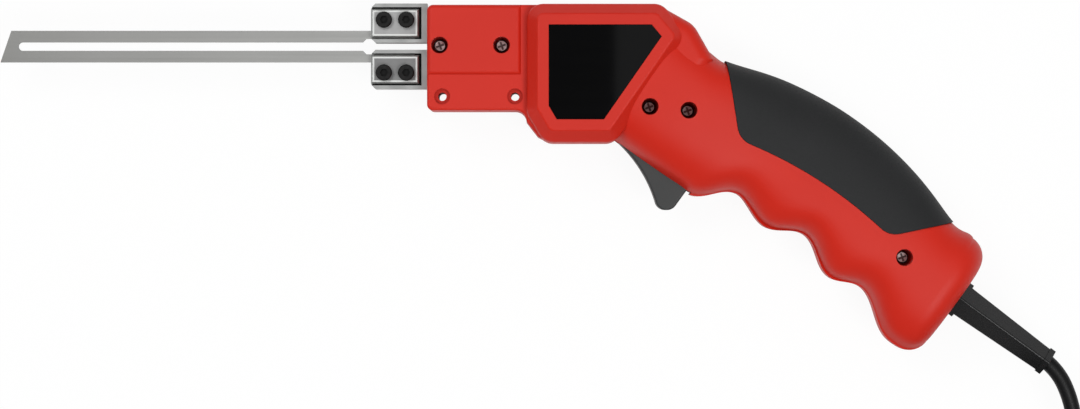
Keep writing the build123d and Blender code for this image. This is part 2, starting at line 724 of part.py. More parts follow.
def electrode(side):
    """One clamp block with its pocket, and the tongue that carries it into the nose."""
    low, high = clamp_span(side)
    block = slab(CLAMP_FRONT, CLAMP_BACK, low, high, -CLAMP_BELOW, CLAMP_ABOVE)
    front = block.faces().sort_by(Axis.X)[0]
    block = chamfer(front.edges().filter_by(Axis.Z), CLAMP_CHAMFER)
    floor = -BLADE_THICK / 2
    block -= slab(
        CLAMP_FRONT - CLAMP_CHAMFER,
        CLAMP_BACK - CLAMP_BACK_WALL,
        low + CLAMP_RIM,
        high - CLAMP_RIM,
        floor,
        2 * CLAMP_ABOVE,
    )
    y = CLAMP_Y + side * TONGUE_OFFSET
    half_z = TONGUE_WIDTH / 2
    block += slab(CLAMP_BACK, TONGUE_END, y - TONGUE_HEIGHT / 2, y + TONGUE_HEIGHT / 2, -half_z, half_z)
    block -= slab(TONGUE_END - LAP_LENGTH, TONGUE_END, y - TONGUE_HEIGHT, y, -BAR_WIDTH, BAR_WIDTH)
    for x in CLAMP_SCREW_X:
        block -= rod(
            x, CLAMP_Y + side * CLAMP_SCREW_OFFSET, CLAMP_SCREW_SHANK / 2 + SCREW_SHANK_GAP, -FAR, FAR
        )
    return block - busbar_hole(side)


def clamp_plate(side):
    """The plate that pinches the blade's tang in the pocket."""
    low, high = clamp_span(side)
    plate = slab(
        CLAMP_FRONT,
        CLAMP_BACK - CLAMP_BACK_WALL - PLATE_BACK_GAP,
        low + CLAMP_RIM + PLATE_GAP,
        high - CLAMP_RIM - PLATE_GAP,
        BLADE_THICK / 2,
        PLATE_TOP,
    )
    plate = chamfer(plate.faces().sort_by(Axis.Z)[-1].edges(), PLATE_BEVEL)
    for x in CLAMP_SCREW_X:
        plate -= rod(
            x, CLAMP_Y + side * CLAMP_SCREW_OFFSET, CLAMP_SCREW_SHANK / 2 + SCREW_SHANK_GAP, -FAR, FAR
        )
    return plate


def busbar_hole(side):
    """The upright hole through a tongue's lap and the bar under it."""
    x, y = TONGUE_END - LAP_LENGTH / 2, CLAMP_Y + side * TONGUE_OFFSET
    bore = Cylinder(BUSBAR_SCREW_SHANK / 2 + SCREW_SHANK_GAP, 3 * TONGUE_HEIGHT)
    return Pos(x, y, 0) * Rot(90, 0, 0) * bore


def busbar_screws():
    """Two screws that hold the bar's ends against the tongues' laps, from below."""
    screws = []
    for side in (1, -1):
        x, y = TONGUE_END - LAP_LENGTH / 2, CLAMP_Y + side * TONGUE_OFFSET - BAR_THICK
        head_low = y - BUSBAR_SCREW_HEAD_HEIGHT
        reach = BAR_THICK + TONGUE_HEIGHT / 2
        head = Pos(x, (y + head_low) / 2, 0) * Rot(90, 0, 0) * Cylinder(BUSBAR_SCREW_HEAD / 2, y - head_low)
        shank = Pos(x, y + reach / 2, 0) * Rot(90, 0, 0) * Cylinder(BUSBAR_SCREW_SHANK / 2, reach)
        screws.append(head + shank)
    return group(screws)


def electrode_insulator():
    """The heat-resistant block between the nose screws, with a window for each tongue."""
    front = NOSE_SCREWS[0][0] + BOSS_R + FIT
    back = NOSE_SCREWS[1][0] - BOSS_R - FIT
    half_z = NOSE_WIDTH / 2 - NOSE_STEP - WALL - FIT
    block = slab(front, back, INSULATOR_BOTTOM, NOSE_TOP - WALL - FIT, -half_z, half_z)
    block = fillet(block.edges().filter_by(Axis.Z), EDGE_ROUND)
    for y in (CLAMP_Y + TONGUE_OFFSET, CLAMP_Y - TONGUE_OFFSET):
        half_y, half_t = TONGUE_HEIGHT / 2 + FIT, TONGUE_WIDTH / 2 + FIT
        block -= slab(front - WALL, back + WALL, y - half_y, y + half_y, -half_t, half_t)
    return block


# Transformer


def transformer_core():
    """Stacked laminations: a middle leg, two outer legs and two yokes."""
    half_z = CORE_HEIGHT / 2
    low, high = CORE_Y - CORE_STACK / 2, CORE_Y + CORE_STACK / 2
    core = slab(CORE_X - CORE_WIDTH / 2, CORE_X + CORE_WIDTH / 2, low, high, -half_z, half_z)
    for side in (-1, 1):
        middle = CORE_X + side * (CORE_LEG + CORE_WINDOW) / 2
        left, right = middle - CORE_WINDOW / 2, middle + CORE_WINDOW / 2
        core -= slab(left, right, low - WALL, high + WALL, YOKE - half_z, half_z - YOKE)
    return core


def leg_ring(inner, outer, z0, z1):
    """A rectangular ring round the middle leg, between two distances from it."""
    faces = [Rectangle(CORE_LEG + 2 * reach, CORE_STACK + 2 * reach) for reach in (inner, outer)]
    rounded = fillet(faces[1].vertices(), min(outer - inner, CORE_WINDOW / 2))
    return Pos(CORE_X, CORE_Y, z0) * extrude(rounded - faces[0], z1 - z0)


def coil_bobbin():
    top = CORE_HEIGHT / 2 - YOKE - FIT
    bobbin = leg_ring(FIT, FIT + BOBBIN_WALL, -top, top)
    bobbin += leg_ring(FIT, WINDING_REACH, -top, BOBBIN_FLANGE - top)
    return bobbin + leg_ring(FIT, WINDING_REACH, top - BOBBIN_FLANGE, top)


def primary_winding():
    top = CORE_HEIGHT / 2 - YOKE - FIT - BOBBIN_FLANGE
    return leg_ring(FIT + BOBBIN_WALL, WINDING_REACH, -top, top)


def secondary_bar():
    """One turn of copper strip round the middle leg, with both ends under the tongues' laps."""
    start = TONGUE_END - LAP_LENGTH
    route = FilletPolyline(
        (start, BAR_LOW_Y),
        (BAR_DROP_X, BAR_LOW_Y),
        (BAR_DROP_X, BAR_BOTTOM_Y),
        (BAR_WINDOW_X, BAR_BOTTOM_Y),
        (BAR_WINDOW_X, BAR_TOP_Y),
        (start, BAR_TOP_Y),
        radius=BAR_BEND,
    )
    strip = Plane((start, BAR_LOW_Y, 0), x_dir=(0, 1, 0), z_dir=(1, 0, 0)) * Rectangle(BAR_THICK, BAR_WIDTH)
    bar = sweep(strip, route)
    for side in (1, -1):
        bar -= busbar_hole(side)
    return bar


# Trigger and switch


def trigger():
    """The finger lever: a hub on the pin, a hollowed finger face and a lip that stops it in the mouth."""
    pivot_s, pivot_n = TRIGGER_PIVOT
    lip_low = TRIGGER_TOP - TRIGGER_LIP_HEIGHT
    face_line = ThreePointArc(TRIGGER_FACE_START, TRIGGER_FACE_MID, TRIGGER_FACE_END)
    rest = Polyline(
        TRIGGER_FACE_END,
        TRIGGER_TIP,
        TRIGGER_TIP_BACK,
        (TRIGGER_REAR, lip_low),
        (TRIGGER_REAR + TRIGGER_LIP, lip_low),
        (TRIGGER_REAR + TRIGGER_LIP, TRIGGER_TOP),
        (pivot_s, TRIGGER_TOP),
        (pivot_s - TRIGGER_HUB / 2, pivot_n - TRIGGER_HUB / 2),
        TRIGGER_FACE_START,
    )
    face = make_face([face_line, rest])
    tips = [v for v in face.vertices() if v.Y < TRIGGER_TIP_BACK[1] + 0.01 and v.X > TRIGGER_TIP[0] - 0.01]
    face = fillet(tips, TRIGGER_TIP_ROUND)
    lever = extrude(face, TRIGGER_WIDTH / 2, both=True)
    sides = lever.faces().filter_by(Plane.XY).edges()
    lever = fillet([e for e in sides if e.center().Y < TRIGGER_FACE_START[1]], TRIGGER_EDGE)
    lever += rod(pivot_s, pivot_n, TRIGGER_HUB, -TRIGGER_WIDTH / 2, TRIGGER_WIDTH / 2)
    return HANDLE * (lever - rod(pivot_s, pivot_n, PIN_DIAMETER / 2 + PIN_SLIP, -FAR, FAR))


def trigger_pin():
    pin = Pos(*TRIGGER_PIVOT, 0) * rod(0, 0, PIN_DIAMETER / 2, FIT - PIN_LENGTH / 2, PIN_LENGTH / 2 - FIT)
    return HANDLE * pin


def arc_pair(start, start_dir, end, end_dir):
    """Two tangent arcs from one point and direction to another."""
    gap = end - start
    both = start_dir + end_dir
    a = 2 * (1 - start_dir.dot(end_dir))
    b = 2 * gap.dot(both)
    c = -gap.dot(gap)
    if abs(a) < 1e-9:
        reach = -c / b
    else:
        reach = (-b + math.sqrt(b * b - 4 * a * c)) / (2 * a)
    joint = (start + end + (start_dir - end_dir) * reach) / 2
    first = TangentArc(start, joint, tangent=start_dir)
    return [first, TangentArc(joint, end, tangent=first % 1)]


def helix_points(turns, radius, length, per_turn):
    """Points and directions of a helix along +Y, for tangent arcs."""
    made = []
    rise = length / turns / (2 * math.pi)
    for i in range(turns * per_turn + 1):
        angle = 2 * math.pi * i / per_turn
        point = Vector(radius * math.cos(angle), rise * angle, radius * math.sin(angle))
        slope = Vector(-radius * math.sin(angle), rise, radius * math.cos(angle)).normalized()
        made.append((point, slope))
    return made


def trigger_spring():
    """A compression spring between the trigger's top and the housing's seat."""
    low = TRIGGER_TOP + SPRING_WIRE / 2 + FIT
    high = SPRING_SEAT_N - SPRING_WIRE / 2 - FIT
    marks = helix_points(SPRING_TURNS, (SPRING_DIAMETER - SPRING_WIRE) / 2, high - low, 4)
    edges = []
    for (p0, d0), (p1, d1) in zip(marks, marks[1:]):
        edges += arc_pair(p0, d0, p1, d1)
    path = Wire(edges)
    wire = Plane(origin=marks[0][0], z_dir=marks[0][1]) * Rectangle(SPRING_WIRE_FLAT, SPRING_WIRE_FLAT)
    coil = sweep(wire, path)
    pitch = (high - low) / SPRING_TURNS
    print("spring: gap between turns", round(pitch - SPRING_WIRE, 2))
    return HANDLE * Pos(SPRING_S, low, 0) * coil


def switch_body():
    """The switch, with its plunger bore and two terminals at the back."""
    back = SWITCH_FRONT + SWITCH_LENGTH
    top = SWITCH_BOTTOM + SWITCH_HEIGHT
    body = slab(SWITCH_FRONT, back, SWITCH_BOTTOM, top, -SWITCH_WIDTH / 2, SWITCH_WIDTH / 2)
    body = fillet(body.edges().filter_by(Axis.Z), EDGE_ROUND)
    half, width = TERMINAL_THICK / 2, TERMINAL_WIDTH / 2
    for share in TERMINAL_SHARES:
        n = SWITCH_BOTTOM + SWITCH_HEIGHT * share
        body += slab(back, back + TERMINAL_LENGTH, n - half, n + half, -width, width)
    depth = PLUNGER_INSIDE + plunger_travel() + WALL / 2
    bore = Pos(PLUNGER_S, SWITCH_BOTTOM + depth / 2, 0) * Rot(90, 0, 0)
    return HANDLE * (body - bore * Cylinder(PLUNGER_DIAMETER / 2 + PLUNGER_SLIP, depth))


def plunger_travel():
    return math.radians(TRIGGER_TRAVEL_DEG) * (PLUNGER_S - TRIGGER_PIVOT[0])


def switch_plunger():
    """The switch's button, with a domed end just clear of the trigger."""
    low, high = TRIGGER_TOP + PLUNGER_GAP, SWITCH_BOTTOM + PLUNGER_INSIDE
    button = Pos(PLUNGER_S, (low + high) / 2, 0) * Rot(90, 0, 0) * Cylinder(PLUNGER_DIAMETER / 2, high - low)
    return HANDLE * fillet(button.edges().sort_by(Axis.Y)[0], PLUNGER_DOME)


# Cord entry and inner leads


def diamond(s, across):
    """A square on its corner across the cord's axis, with eased corners."""
    plane = Plane((s, CORD_N, 0), x_dir=(0, 1, 0), z_dir=(1, 0, 0))
    face = Rectangle(across / math.sqrt(2), across / math.sqrt(2), rotation=45)
    return plane * fillet(face.vertices(), SLEEVE_CORNER)


def disc(s, radius, length):
    """A round length along the cord's axis."""
    plane = Plane((s, CORD_N, 0), x_dir=(0, 1, 0), z_dir=(1, 0, 0))
    return extrude(plane * Circle(radius), length)


def cord_sleeve():
    """The strain relief: a button inside the end wall, a neck through it, a flange and a square taper."""
    wall_inside = HANDLE_LENGTH - END_WALL
    sleeve = disc(wall_inside - SLEEVE_BUTTON_THICK - FIT, SLEEVE_BUTTON / 2, SLEEVE_BUTTON_THICK)
    sleeve += disc(wall_inside - SLEEVE_BUTTON_THICK, SLEEVE_NECK / 2, END_WALL + SLEEVE_FLANGE_THICK)
    flange_s = HANDLE_LENGTH + FIT
    sleeve += extrude(diamond(flange_s, SLEEVE_FLANGE), SLEEVE_FLANGE_THICK)
    sleeve += loft([diamond(flange_s, SLEEVE_ROOT), diamond(SLEEVE_END, SLEEVE_TIP)], ruled=True)
    sleeve += extrude(diamond(SLEEVE_END - SLEEVE_LIP_LENGTH, SLEEVE_LIP), SLEEVE_LIP_LENGTH)
    bore = disc(wall_inside - END_WALL, CORD_R + CORD_BORE_GAP, SLEEVE_END)
    return HANDLE * (sleeve - bore)


def inner_cord():
    """The cord's end inside the sleeve and the tail."""
    return HANDLE * disc(INNER_CORD_END, CORD_R, SLEEVE_END - INNER_CORD_END)


def cord_clamp():
    """The bridge over the cord, screwed down on the two posts."""
    half = CORD_CLAMP_LENGTH / 2
    bridge = slab(
        CORD_CLAMP_S - half,
        CORD_CLAMP_S + half,
        CORD_N - CORD_CLAMP_WIDTH / 2,
        CORD_N + CORD_CLAMP_WIDTH / 2,
        FIT,
        CORD_R + CORD_CLAMP_THICK,
    )
    bridge = fillet(bridge.edges().filter_by(Axis.Z), EDGE_ROUND)
    bridge -= disc(CORD_CLAMP_S - CORD_CLAMP_LENGTH, CORD_R + CORD_BORE_GAP, 2 * CORD_CLAMP_LENGTH)
    for n in clamp_posts():
        bridge -= rod(CORD_CLAMP_S, n, SCREW_SHANK / 2 + SCREW_SHANK_GAP, -FAR, FAR)
    return HANDLE * bridge


def cord_clamp_screws():
    seat = CORD_R + CORD_CLAMP_THICK
    sizes = (SCREW_HEAD, SCREW_HEAD_HEIGHT, SCREW_SHANK, seat, seat + CORD_CLAMP_BITE)
    return group([HANDLE * cross_screw(CORD_CLAMP_S, n, *sizes) for n in clamp_posts()])


def corner_radii(points, share=0.45):
    """The largest even arcs that the route's runs leave room for."""
    radii = []
    for before, corner, after in zip(points, points[1:], points[2:]):
        run_in, run_out = corner - before, after - corner
        turn = math.radians(run_in.get_angle(run_out))
        radii.append(share * min(run_in.length, run_out.length) / math.tan(turn / 2))
    return radii


def tube(name, points, diameter):
    """A round tube along straight runs and tangent arcs."""
    radii = corner_radii(points)
    path = FilletPolyline(*points, radius=radii)
    ring = Plane(origin=points[0], z_dir=points[1] - points[0]) * Circle(diameter / 2)
    body = sweep(ring, path)
    share = body.volume / (path.length * math.pi * diameter**2 / 4)
    bends = [round(r) for r in radii]
    print(name, "length", round(path.length, 1), "radii", bends, "volume share", round(share, 4))
    return body


def cord_end(side):
    """A lead's first two points, straight out of the cord's end."""
    n = CORD_N + side * LEAD_OFFSET
    return [spot(INNER_CORD_END - FIT, n), spot(INNER_CORD_END - FIT - LEAD_START, n)]


def switch_end(share):
    """A lead's last two points, straight on to a switch terminal at a share of the switch's height."""
    s = SWITCH_FRONT + SWITCH_LENGTH + TERMINAL_LENGTH + FIT
    n = SWITCH_BOTTOM + SWITCH_HEIGHT * share
    return [spot(s + LEAD_APPROACH, n), spot(s, n)]


def winding_end(side):
    """A lead's way through the body to the winding, on one side of the secondary bar."""
    z = side * (BAR_WIDTH / 2 + LEAD_DIAMETER + FIT)
    over_y = BODY_LEAD_ROUTE[-1][1]
    top_y = CORE_Y + CORE_STACK / 2 + WINDING_REACH + FIT
    points = [Vector(x, y, z) for x, y in BODY_LEAD_ROUTE]
    return points + [Vector(CORE_X, over_y, z), Vector(CORE_X, top_y, z)]


def live_lead():
    points = cord_end(1) + [spot(*p) for p in LIVE_ROUTE] + switch_end(TERMINAL_SHARES[0])
    return tube("live lead", points, LEAD_DIAMETER)


def neutral_lead():
    points = cord_end(-1) + [spot(*p) for p in NEUTRAL_ROUTE] + winding_end(1)
    return tube("neutral lead", points, LEAD_DIAMETER)


def switch_lead():
    points = switch_end(TERMINAL_SHARES[1])[::-1] + [spot(*p) for p in SWITCH_ROUTE] + winding_end(-1)
    return tube("switch lead", points, LEAD_DIAMETER)


# Put-away cord on the table


def coil_marks():
    """Crossing points of the coil's half turns with its own X axis: (x, height, climbs to here)."""
    radii = [COIL_OUTER - COIL_STEP * i for i in range(COIL_STEPS + 1)]
    height = TIE_THICK + CORD_R + CORD_LIFT
    marks = []
    for layer in range(COIL_LAYERS):
        inward = radii if layer % 2 == 0 else radii[::-1]
        for i, radius in enumerate(inward):
            side = 1 if len(marks) % 2 == 0 else -1
            marks.append((side * radius, height + layer * COIL_LAYER_RISE, i == 0 and layer > 0))
    return marks


def coil_path():
    """Half turns that spiral in and out, and climb a layer where the spiral turns back."""
    cx, cy = COIL_CENTRE
    marks = coil_marks()
    edges = []
    for k, ((x0, z0, _), (x1, z1, climbs)) in enumerate(zip(marks, marks[1:])):
        down = -1 if k % 2 == 0 else 1
        start, end = Vector(cx + x0, cy, z0), Vector(cx + x1, cy, z1)
        middle = Vector(cx + (x0 + x1) / 2, cy + down * abs(x0 - x1) / 2, (z0 + z1) / 2)
        heading, leaving = Vector(0, down, 0), Vector(0, -down, 0)
        slope = math.atan2((z1 - z0) * 2, math.pi * abs(x0 - x1) / 2)
        rise = Vector(math.copysign(math.cos(slope), x1 - x0), 0, math.sin(slope))
        last = k == len(marks) - 2
        if climbs:
            edges += arc_pair(start, heading, middle, rise) + arc_pair(middle, rise, end, leaving)
        else:
            edges.append(TangentArc(start, middle if last else end, tangent=heading))
    return edges, middle


def least_gap(edges, diameter):
    """The least gap between stretches of the coil that aren't neighbours along it."""
    points = [edge @ (i / 6) for edge in edges for i in range(6)]
    apart = 12
    best = math.inf
    for i, p in enumerate(points):
        for q in points[i + apart :]:
            best = min(best, (p - q).length)
    return best - diameter


def cord_coil():
    edges, _ = coil_path()
    path = Wire(edges)
    start = edges[0] @ 0
    ring = Plane(origin=start, z_dir=edges[0] % 0) * RegularPolygon(CORD_R, COIL_SIDES)
    coil = sweep(ring, path, clean=False)
    section = ring.area
    print("coil length", round(path.length), "least gap", round(least_gap(edges, CORD_DIAMETER), 2))
    print("coil volume share", round(coil.volume / (section * path.length), 4))
    return coil


def power_cord():
    """The stretch from the sleeve down to the coil."""
    exit_point = spot(SLEEVE_END, CORD_N) + Vector(0, 0, BODY_HALF)
    outward = Vector(math.cos(math.radians(HANDLE_ANGLE)), math.sin(math.radians(HANDLE_ANGLE)), 0)
    edges, _ = coil_path()
    start = edges[0] @ 0
    points = [exit_point, exit_point + outward * RUN_OUT]
    points += [Vector(*p) for p in RUN_ROUTE]
    points += [start + Vector(0, RUN_LAST, 0), start]
    return tube("power cord", points, CORD_DIAMETER)


def cord_tail():
    """The stretch from the coil's top turn down to the plug."""
    _, leave = coil_path()
    end = Vector(*TAIL_END, PLUG_THICK / 2)
    points = [leave, leave - Vector(TAIL_OUT, 0, 0)]
    points += [Vector(*p) for p in TAIL_ROUTE]
    points += [end + Vector(TAIL_LAST, 0, 0), end]
    return tube("cord tail", points, CORD_DIAMETER)


def cord_tie():
    """A band round the coil's bundle, on the side away from the handle."""
    cx, cy = COIL_CENTRE
    inner = COIL_OUTER - COIL_STEP * COIL_STEPS - CORD_R - TIE_GAP
    outer = COIL_OUTER + CORD_R + TIE_GAP
    height = (COIL_LAYERS - 1) * COIL_LAYER_RISE + CORD_DIAMETER + 2 * CORD_LIFT
    corner = (cx - (inner + outer) / 2, cy + TIE_WIDTH / 2, TIE_THICK + height / 2)
    plane = Plane(corner, x_dir=(1, 0, 0), z_dir=(0, -1, 0))
    hole = Rectangle(outer - inner, height)
    band = fillet(offset(hole, TIE_THICK, kind=Kind.INTERSECTION).vertices(), TIE_THICK)
    return extrude(plane * (band - hole), TIE_WIDTH)


def plug_body():
    """A flat two-pin plug that lies on the table, with a tapered neck for the cord."""
    x, y = TAIL_END
    neck_end = x - PLUG_NECK
    face_x = neck_end - PLUG_LENGTH
    half = PLUG_WIDTH / 2
    face = outline_face(
        [
            (face_x, y - PLUG_FACE_WIDTH / 2),
            (face_x + PLUG_SHOULDER, y - half),
            (face_x + 2 * PLUG_SHOULDER, y - half),
            (neck_end, y - PLUG_TAIL_WIDTH / 2),
            (neck_end, y + PLUG_TAIL_WIDTH / 2),
            (face_x + 2 * PLUG_SHOULDER, y + half),
            (face_x + PLUG_SHOULDER, y + half),
            (face_x, y + PLUG_FACE_WIDTH / 2),
        ]
    )
    body = extrude(fillet(face.vertices(), PLUG_ROUND), PLUG_THICK)
    rims = body.faces().filter_by(Plane.XY).edges()
    body = chamfer(rims, PLUG_ROUND / 2)
    neck = Plane((neck_end, y, PLUG_THICK / 2), z_dir=(1, 0, 0))
    taper = loft([neck * Circle(PLUG_NECK_ROOT / 2), neck * Pos(0, 0, PLUG_NECK) * Circle(PLUG_NECK_TIP / 2)])
    return body + taper


def plug_pins():
    """Two round contact pins with rounded tips."""
    x = TAIL_END[0] - PLUG_NECK - PLUG_LENGTH
    pins = []
    for side in (-1, 1):
        place = Plane((x, TAIL_END[1] + side * PIN_SPACING / 2, PLUG_THICK / 2), z_dir=(-1, 0, 0))
        pin = extrude(place * Circle(PLUG_PIN_DIAMETER / 2), PLUG_PIN_LENGTH)
        tip = pin.edges().sort_by(Axis.X)[0]
        pins.append(fillet(tip, PLUG_PIN_ROUND))
    return group(pins)


def badge():
    return Pos(0, 0, BODY_HALF - BADGE_DEPTH) * extrude(badge_face, BADGE_DEPTH)


def flipped(piece):
    return mirror(piece, about=Plane.XY)


outer_form = outer_half()
hollow_form = cavity()
pad = grip_pad()
tool = {
    "left_shell": left_shell(outer_form, hollow_form),
    "right_shell": right_shell(outer_form, hollow_form),
    "left_badge": badge(),
    "right_badge": flipped(badge()),
    "left_grip": pad,
    "right_grip": flipped(pad),
    "housing_screws": housing_screws(),
    "blade": blade(),
    "upper_electrode": electrode(1),
    "lower_electrode": electrode(-1),
    "upper_clamp_plate": clamp_plate(1),
    "lower_clamp_plate": clamp_plate(-1),
    "upper_clamp_screws": clamp_screws(1),
    "lower_clamp_screws": clamp_screws(-1),
    "electrode_insulator": electrode_insulator(),
    "busbar_screws": busbar_screws(),
    "transformer_core": transformer_core(),
    "coil_bobbin": coil_bobbin(),
    "primary_winding": primary_winding(),
    "secondary_bar": secondary_bar(),
    "trigger": trigger(),
    "trigger_pin": trigger_pin(),
    "trigger_spring": trigger_spring(),
    "switch_body": switch_body(),
    "switch_plunger": switch_plunger(),
    "cord_sleeve": cord_sleeve(),
    "inner_cord": inner_cord(),
    "cord_clamp": cord_clamp(),
    "cord_clamp_screws": cord_clamp_screws(),
    "live_lead": live_lead(),
    "neutral_lead": neutral_lead(),
    "switch_lead": switch_lead(),
}
on_table = {
    "power_cord": power_cord(),
    "cord_coil": cord_coil(),
    "cord_tail": cord_tail(),
    "cord_tie": cord_tie(),
    "plug_body": plug_body(),
    "plug_pins": plug_pins(),
}

os.makedirs("parts", exist_ok=True)
for name, piece in tool.items():
    export_step(LIFT * piece, f"parts/{name}.step")
for name, piece in on_table.items():
    export_step(piece, f"parts/{name}.step")
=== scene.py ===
# %% [markdown]
# # An electric hot knife, dressed for its portrait
# The solids of this tool were drawn in a CAD program, in metres, with the tool lying on its right side on
# a table. This lesson loads them as a fixed frame, sets up the camera and a small studio, lays the mains
# cord, and then gives every piece the finish of the real one: satin red housing, soft grey grip, rolled
# resistance strip, nickel-plated clamps. Each step says what the thing is before the code makes it.

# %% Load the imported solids
import math

import bmesh
import bpy
from mathutils import Matrix, Vector


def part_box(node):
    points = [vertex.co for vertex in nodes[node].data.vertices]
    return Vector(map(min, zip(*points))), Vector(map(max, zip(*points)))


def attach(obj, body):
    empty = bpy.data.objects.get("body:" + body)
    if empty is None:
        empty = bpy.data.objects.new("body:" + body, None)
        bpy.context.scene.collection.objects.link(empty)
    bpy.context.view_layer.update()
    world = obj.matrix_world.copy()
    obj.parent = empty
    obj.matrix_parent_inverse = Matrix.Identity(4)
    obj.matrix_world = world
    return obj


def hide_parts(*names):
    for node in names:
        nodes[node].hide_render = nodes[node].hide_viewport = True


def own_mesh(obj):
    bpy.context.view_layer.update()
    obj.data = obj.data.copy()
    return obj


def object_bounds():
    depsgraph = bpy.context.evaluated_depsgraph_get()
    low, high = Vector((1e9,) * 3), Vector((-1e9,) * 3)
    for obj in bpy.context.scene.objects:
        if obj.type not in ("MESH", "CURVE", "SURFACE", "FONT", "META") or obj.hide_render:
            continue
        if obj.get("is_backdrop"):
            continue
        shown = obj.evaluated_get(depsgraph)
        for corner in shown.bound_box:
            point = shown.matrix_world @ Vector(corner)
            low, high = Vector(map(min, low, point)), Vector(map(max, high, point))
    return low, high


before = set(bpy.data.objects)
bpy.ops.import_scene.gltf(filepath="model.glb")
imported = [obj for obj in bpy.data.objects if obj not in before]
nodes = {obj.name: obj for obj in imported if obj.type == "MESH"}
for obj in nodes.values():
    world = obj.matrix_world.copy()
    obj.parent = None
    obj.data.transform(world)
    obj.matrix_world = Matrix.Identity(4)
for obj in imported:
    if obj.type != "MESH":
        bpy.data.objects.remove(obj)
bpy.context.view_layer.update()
MM = 0.001

# %% [markdown]
# ## The camera
# The picture was taken from straight above, with a long lens, so the sides of the tool hardly show. One
# pixel of the 1080 x 409 picture covers 0.36 mm at the plane where the two halves of the housing meet.
# A camera that looks along -Z needs no turn at all in Blender: that is where an unrotated camera looks.

# %% Camera above the parting plane
PHOTO_WIDTH, PHOTO_HEIGHT = 1080, 409
ORIGIN_PIXEL = (600, 75)
PIXEL = 0.36 * MM
PARTING = 23.0 * MM
DISTANCE = 1.5
SENSOR = 36.0
lens = bpy.data.cameras.new("portrait_lens")
lens.sensor_width = SENSOR
lens.lens = SENSOR * DISTANCE / (PHOTO_WIDTH * PIXEL)
lens.clip_end = 20.0
camera = bpy.data.objects.new("portrait_camera", lens)
camera.location = (
    (PHOTO_WIDTH / 2 - ORIGIN_PIXEL[0]) * PIXEL,
    (ORIGIN_PIXEL[1] - PHOTO_HEIGHT / 2) * PIXEL,
    PARTING + DISTANCE,
)
bpy.context.scene.collection.objects.link(camera)
bpy.context.scene.camera = camera
bpy.context.scene.view_settings.view_transform = "Standard"
print("lens", round(lens.lens, 1), "mm at", [round(v, 3) for v in camera.location])

# %% [markdown]
# ## Shader sums
# A finish is a small network of nodes. Wiring each Math node by hand hides the idea, so a socket is wrapped
# in a class that knows how to add, subtract and multiply: `1 - mask * 0.3` then adds its own Math nodes.
# `Finish` holds one material. Its `node` method makes any other node from its type, its settings and
# the values or links of its sockets.

# %% Classes for shader sums and finishes
class Term:
    """A value that comes out of a shader node and takes part in sums."""

    def __init__(self, finish, socket):
        self.finish = finish
        self.socket = socket

    def _math(self, operation, first, second):
        return self.finish.node("ShaderNodeMath", {"operation": operation}, {0: first, 1: second})

    def __add__(self, other):
        return self._math("ADD", self, other)

    def __radd__(self, other):
        return self._math("ADD", other, self)

    def __sub__(self, other):
        return self._math("SUBTRACT", self, other)

    def __rsub__(self, other):
        return self._math("SUBTRACT", other, self)

    def __mul__(self, other):
        return self._math("MULTIPLY", self, other)

    def __rmul__(self, other):
        return self._math("MULTIPLY", other, self)

    def __gt__(self, other):
        return self._math("GREATER_THAN", self, other)

    def __lt__(self, other):
        return self._math("LESS_THAN", self, other)


class Network:
    """A node tree, and one way to add any node to it."""

    def __init__(self, tree):
        self.tree = tree
        tree.nodes.clear()

    def node(self, kind, settings=None, sockets=None, out=0):
        made = self.tree.nodes.new(kind)
        for label, value in (settings or {}).items():
            if label == "stops":
                stops = made.color_ramp.elements
                for i, (place, grey) in enumerate(value):
                    stop = stops[i] if i < len(stops) else stops.new(place)
                    stop.position, stop.color = place, (grey, grey, grey, 1)
            else:
                setattr(made, label, value)
        for key, value in (sockets or {}).items():
            self.plug(made.inputs[key], value)
        return Term(self, made.outputs[out])

    def plug(self, socket, value):
        if isinstance(value, Term):
            self.tree.links.new(value.socket, socket)
        else:
            socket.default_value = value


class Finish(Network):
    """A material: a Principled shader, set from named sockets, and the nodes that feed it."""

    def __init__(self, name, **sockets):
        self.material = bpy.data.materials.new(name)
        self.material.use_nodes = True
        super().__init__(self.material.node_tree)
        self.shader = self.tree.nodes.new("ShaderNodeBsdfPrincipled")
        self.end = self.tree.nodes.new("ShaderNodeOutputMaterial")
        self.tree.links.new(self.shader.outputs[0], self.end.inputs[0])
        for label, value in sockets.items():
            self.feed(label.replace("_", " "), value)

    def feed(self, label, value):
        if label == "Base Color" and not isinstance(value, Term):
            value = (*value, 1.0)
        self.plug(self.shader.inputs[label], value)

    def place(self, scale=(1, 1, 1), turn=0.0):
        """The piece's own coordinates, in metres, stretched and turned about Z."""
        spot = self.node("ShaderNodeTexCoord", out="Object")
        moves = {"Vector": spot, "Scale": scale, "Rotation": (0, 0, turn)}
        return self.node("ShaderNodeMapping", {}, moves)

    def axis(self, which):
        """One of the piece's own coordinates as a number."""
        spot = self.node("ShaderNodeTexCoord", out="Object")
        return self.node("ShaderNodeSeparateXYZ", {}, {0: spot}, out=which)

    def noise(self, scale, detail=2.0, spot=None):
        spot = spot or self.place()
        return self.node("ShaderNodeTexNoise", {}, {"Vector": spot, "Scale": scale, "Detail": detail})

    def blend(self, share, first, second):
        """A colour between two colours."""
        sides = [c if isinstance(c, Term) else (*c, 1.0) for c in (first, second)]
        sockets = {0: share, 6: sides[0], 7: sides[1]}
        return self.node("ShaderNodeMix", {"data_type": "RGBA"}, sockets, out=2)

    def within(self, low, high, margin):
        """1 inside a box's outline, seen along Z and grown by a margin, and 0 outside it."""
        x, y = self.axis("X"), self.axis("Y")
        across = (x > low[0] - margin) * (x < high[0] + margin)
        return across * (y > low[1] - margin) * (y < high[1] + margin)

    def relief(self, height, depth, strength=1.0):
        """Bumps of a depth in metres, straight into the shader's normal."""
        bump = self.node("ShaderNodeBump", {}, {"Height": height, "Distance": depth, "Strength": strength})
        self.feed("Normal", bump)


